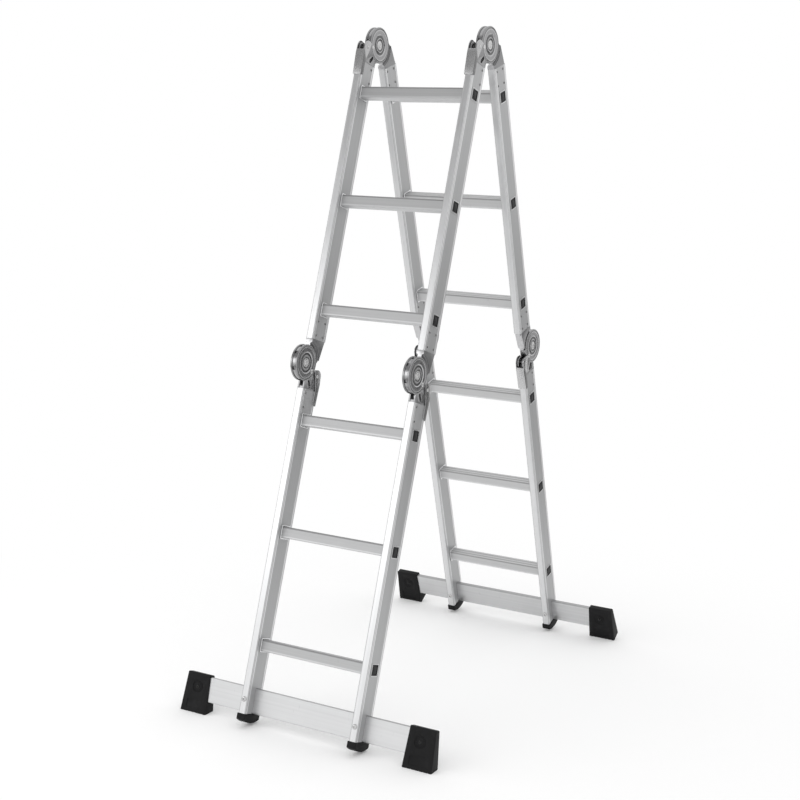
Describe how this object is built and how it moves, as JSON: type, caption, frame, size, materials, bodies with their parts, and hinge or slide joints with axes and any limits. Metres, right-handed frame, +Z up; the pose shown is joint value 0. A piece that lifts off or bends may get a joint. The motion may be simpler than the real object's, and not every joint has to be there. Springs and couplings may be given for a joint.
{
  "type": "folding multi position ladder",
  "caption": "Folding multi position ladder of aluminium sections on self-locking steel hinges, standing as a stepladder on stabiliser bars with rubber end caps.",
  "frame": {"origin": "on the floor, at the middle of the box that holds the standing ladder", "axes": "+X along the rungs to the right, +Y towards the rear leg, +Z up"},
  "size_m": [0.718, 1.1596, 1.6961],
  "materials": {
    "stile_aluminium": "mill-finish extrusion with fine lengthwise lines",
    "rung_aluminium": "mill-finish tube with grip grooves",
    "bar_aluminium": "mill-finish tube",
    "hinge_steel": "zinc-plated pressed steel",
    "knuckle_steel": "dark plated steel",
    "rivet_steel": "bright plated rivet",
    "lever_steel": "zinc-plated sheet",
    "bolt_steel": "zinc-plated bolt",
    "cap_rubber": "moulded black rubber",
    "foot_rubber": "moulded black rubber"
  },
  "bodies": {
    "front_upper": {"front_upper_stile_left": "stile_aluminium", "front_upper_stile_right": "stile_aluminium", "front_upper_rung_1": "rung_aluminium", "front_upper_rung_2": "rung_aluminium", "front_upper_rung_3": "rung_aluminium", "top_hinge_fork_left": "hinge_steel", "top_hinge_fork_right": "hinge_steel", "top_hinge_axle_left": "rivet_steel", "top_hinge_axle_right": "rivet_steel", "front_hinge_knuckle_left": "knuckle_steel", "front_hinge_knuckle_right": "knuckle_steel"},
    "rear_upper": {"rear_upper_stile_left": "stile_aluminium", "rear_upper_stile_right": "stile_aluminium", "rear_upper_rung_1": "rung_aluminium", "rear_upper_rung_2": "rung_aluminium", "rear_upper_rung_3": "rung_aluminium", "top_hinge_knuckle_left": "knuckle_steel", "top_hinge_knuckle_right": "knuckle_steel", "rear_hinge_knuckle_left": "knuckle_steel", "rear_hinge_knuckle_right": "knuckle_steel"},
    "front_lower": {"front_lower_stile_left": "stile_aluminium", "front_lower_stile_right": "stile_aluminium", "front_lower_rung_1": "rung_aluminium", "front_lower_rung_2": "rung_aluminium", "front_lower_rung_3": "rung_aluminium", "front_hinge_fork_left": "hinge_steel", "front_hinge_fork_right": "hinge_steel", "front_hinge_axle_left": "rivet_steel", "front_hinge_axle_right": "rivet_steel", "front_stabiliser_bar": "bar_aluminium", "front_bar_cap_left": "cap_rubber", "front_bar_cap_right": "cap_rubber", "front_stile_foot_left": "foot_rubber", "front_stile_foot_right": "foot_rubber", "front_stabiliser_bolt_left": "bolt_steel", "front_stabiliser_bolt_right": "bolt_steel"},
    "rear_lower": {"rear_lower_stile_left": "stile_aluminium", "rear_lower_stile_right": "stile_aluminium", "rear_lower_rung_1": "rung_aluminium", "rear_lower_rung_2": "rung_aluminium", "rear_lower_rung_3": "rung_aluminium", "rear_hinge_fork_left": "hinge_steel", "rear_hinge_fork_right": "hinge_steel", "rear_hinge_axle_left": "rivet_steel", "rear_hinge_axle_right": "rivet_steel", "rear_stabiliser_bar": "bar_aluminium", "rear_bar_cap_left": "cap_rubber", "rear_bar_cap_right": "cap_rubber", "rear_stile_foot_left": "foot_rubber", "rear_stile_foot_right": "foot_rubber", "rear_stabiliser_bolt_left": "bolt_steel", "rear_stabiliser_bolt_right": "bolt_steel"},
    "top_lever_left": {"top_release_lever_left": "lever_steel"},
    "top_lever_right": {"top_release_lever_right": "lever_steel"},
    "front_lever_left": {"front_release_lever_left": "lever_steel"},
    "front_lever_right": {"front_release_lever_right": "lever_steel"},
    "rear_lever_left": {"rear_release_lever_left": "lever_steel"},
    "rear_lever_right": {"rear_release_lever_right": "lever_steel"}
  },
  "joints": [
    {"name": "top_fold", "type": "hinge", "parent": "front_upper", "child": "rear_upper", "pos_m": [0, -0.00262, 1.65109], "axis": [-1, 0, 0], "range_deg": [-145.4, 34.6]},
    {"name": "front_fold", "type": "hinge", "parent": "front_upper", "child": "front_lower", "pos_m": [0, -0.32276, 0.87088], "axis": [-1, 0, 0], "range_deg": [0, 180]},
    {"name": "rear_fold", "type": "hinge", "parent": "rear_upper", "child": "rear_lower", "pos_m": [0, 0.32004, 0.87191], "axis": [1, 0, 0], "range_deg": [0, 180]},
    {"name": "top_lever_pull_left", "type": "hinge", "parent": "front_upper", "child": "top_lever_left", "pos_m": [-0.1575, -0.06363, 1.64339], "axis": [1, 0, 0], "range_deg": [-12, 0], "stiffness_Nm_per_rad": 0.6, "springref_deg": 11.46},
    {"name": "top_lever_pull_right", "type": "hinge", "parent": "front_upper", "child": "top_lever_right", "pos_m": [0.1575, -0.06363, 1.64339], "axis": [1, 0, 0], "range_deg": [-12, 0], "stiffness_Nm_per_rad": 0.6, "springref_deg": 11.46},
    {"name": "front_lever_pull_left", "type": "hinge", "parent": "front_lower", "child": "front_lever_left", "pos_m": [-0.1575, -0.27679, 0.83004], "axis": [-1, 0, 0], "range_deg": [-12, 0], "stiffness_Nm_per_rad": 0.6, "springref_deg": 11.46},
    {"name": "front_lever_pull_right", "type": "hinge", "parent": "front_lower", "child": "front_lever_right", "pos_m": [0.1575, -0.27679, 0.83004], "axis": [-1, 0, 0], "range_deg": [-12, 0], "stiffness_Nm_per_rad": 0.6, "springref_deg": 11.46},
    {"name": "rear_lever_pull_left", "type": "hinge", "parent": "rear_lower", "child": "rear_lever_left", "pos_m": [-0.1575, 0.27419, 0.83093], "axis": [1, 0, 0], "range_deg": [-12, 0], "stiffness_Nm_per_rad": 0.6, "springref_deg": 11.46},
    {"name": "rear_lever_pull_right", "type": "hinge", "parent": "rear_lower", "child": "rear_lever_right", "pos_m": [0.1575, 0.27419, 0.83093], "axis": [1, 0, 0], "range_deg": [-12, 0], "stiffness_Nm_per_rad": 0.6, "springref_deg": 11.46}
  ]
}
